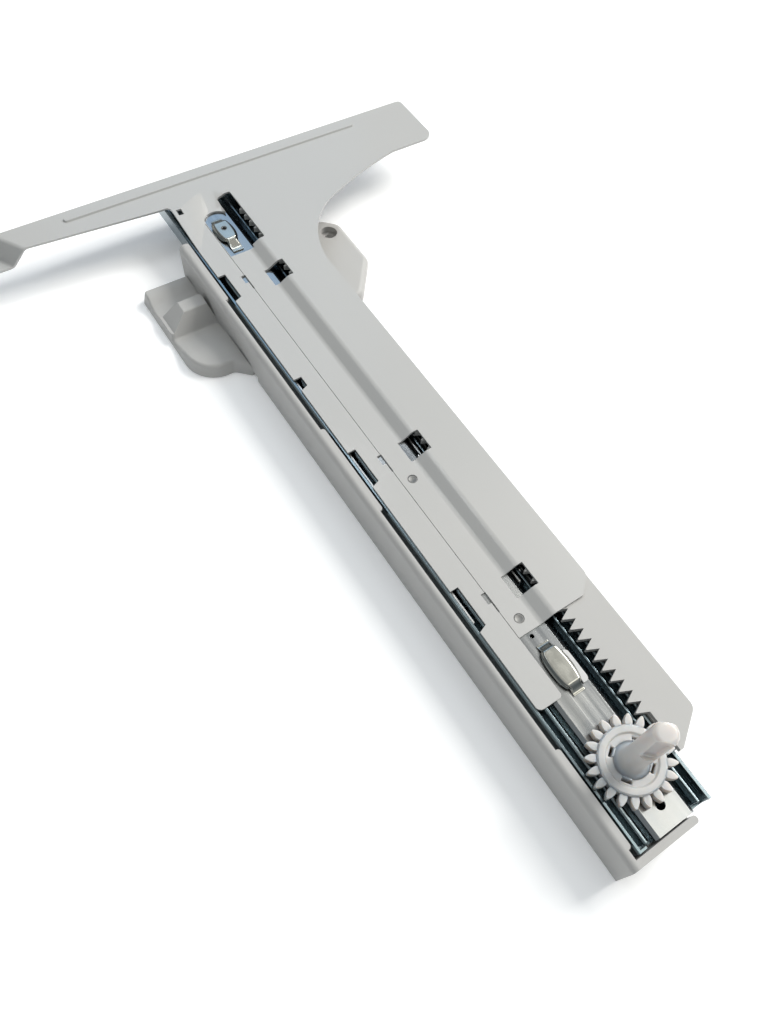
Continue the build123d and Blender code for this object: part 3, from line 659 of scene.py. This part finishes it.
# ---- stage ------------------------------------------------------------------------------
def floor():
    """Plain pale floor under the whole travel."""
    reach, level = 12, -mm(0.6)
    mesh = bpy.data.meshes.new("floor")
    corners = [(-reach, -reach, level), (reach, -reach, level), (reach, reach, level),
               (-reach, reach, level)]
    mesh.from_pydata(corners, [], [(0, 1, 2, 3)])
    ground = bpy.data.objects.new("floor", mesh)
    bpy.context.scene.collection.objects.link(ground)
    f = Finish("floor_white", (0.93, 0.93, 0.93), Roughness=0.9, Specular_IOR_Level=0.1,
               Emission_Color=(0.95, 0.97, 1, 1), Emission_Strength=0.16)
    mesh.materials.append(f.material)


def softbox(name, place, aim, size, watts, colour=(1, 1, 1), width=0):
    """Soft light pointed at a spot on the object: square, or a strip along X when it has a width."""
    light = bpy.data.lights.new(name, "AREA")
    light.shape, light.size, light.energy, light.color = "RECTANGLE", size, watts, colour
    light.size_y = width or size
    lamp = bpy.data.objects.new(name, light)
    bpy.context.scene.collection.objects.link(lamp)
    lamp.location = place
    lamp.rotation_euler = (Vector(aim) - Vector(place)).to_track_quat("-Z", "Y").to_euler()


def sky():
    """Studio surround: pale ceiling that falls off to a dim, cool horizon, plain white when seen."""
    world = bpy.data.worlds.new("studio")
    world.use_nodes = True
    bpy.context.scene.world = world
    desk = Desk(world.node_tree)
    way = desk.add("ShaderNodeTexCoord", out="Generated")
    rise = desk.add("ShaderNodeSeparateXYZ", {}, {"Vector": way}, "Z")
    dome = desk.add("ShaderNodeValToRGB", {"stops": (
        (0.0, (0.25, 0.26, 0.27)), (0.3, (0.1, 0.13, 0.15)), (0.62, (0.42, 0.45, 0.47)),
        (0.93, (0.62, 0.62, 0.6)), (1.0, (0.8, 0.79, 0.75)))}, {"Fac": rise})
    seen = desk.add("ShaderNodeLightPath", out="Is Camera Ray")
    shown = desk.add("ShaderNodeMix", {"data_type": "RGBA"}, {0: seen, 6: dome, 7: (1.1, 1.1, 1.1, 1)}, 2)
    desk.feed(world.node_tree.nodes["Background"], {"Color": shown, "Strength": 0.93})


floor()
sky()
softbox("key", (0.35, -2.5, 2.3), (0.25, 0, 0), 1.6, 118, (1, 0.98, 0.945))
softbox("window", (1.85, -0.55, 1.45), (0.43, 0, 0), 0.9, 2.6, (0.42, 0.68, 1))
softbox("strip", (0.85, 0.16, 1.5), (0.25, 0, 0), 1.5, 3.5, (0.88, 0.94, 1), 0.14)
softbox("lamp", (-0.2, -0.6, 1.45), (0.02, 0, 0), 0.4, 1.2, (1, 0.97, 0.88))

eye = bpy.data.cameras.new("camera")
eye.lens, eye.sensor_width, eye.shift_x, eye.shift_y = 28.832, 36, -0.0440, 0.0293
eye.clip_start, eye.clip_end = 0.01, 40
camera = bpy.data.objects.new("camera", eye)
bpy.context.scene.collection.objects.link(camera)
camera.location = (0.0360, 0.1577, 0.39777)
camera.rotation_euler = (radians(28.365), radians(-5.541), radians(-124.376))
bpy.context.scene.camera = camera
bpy.context.scene.view_settings.view_transform = "Standard"
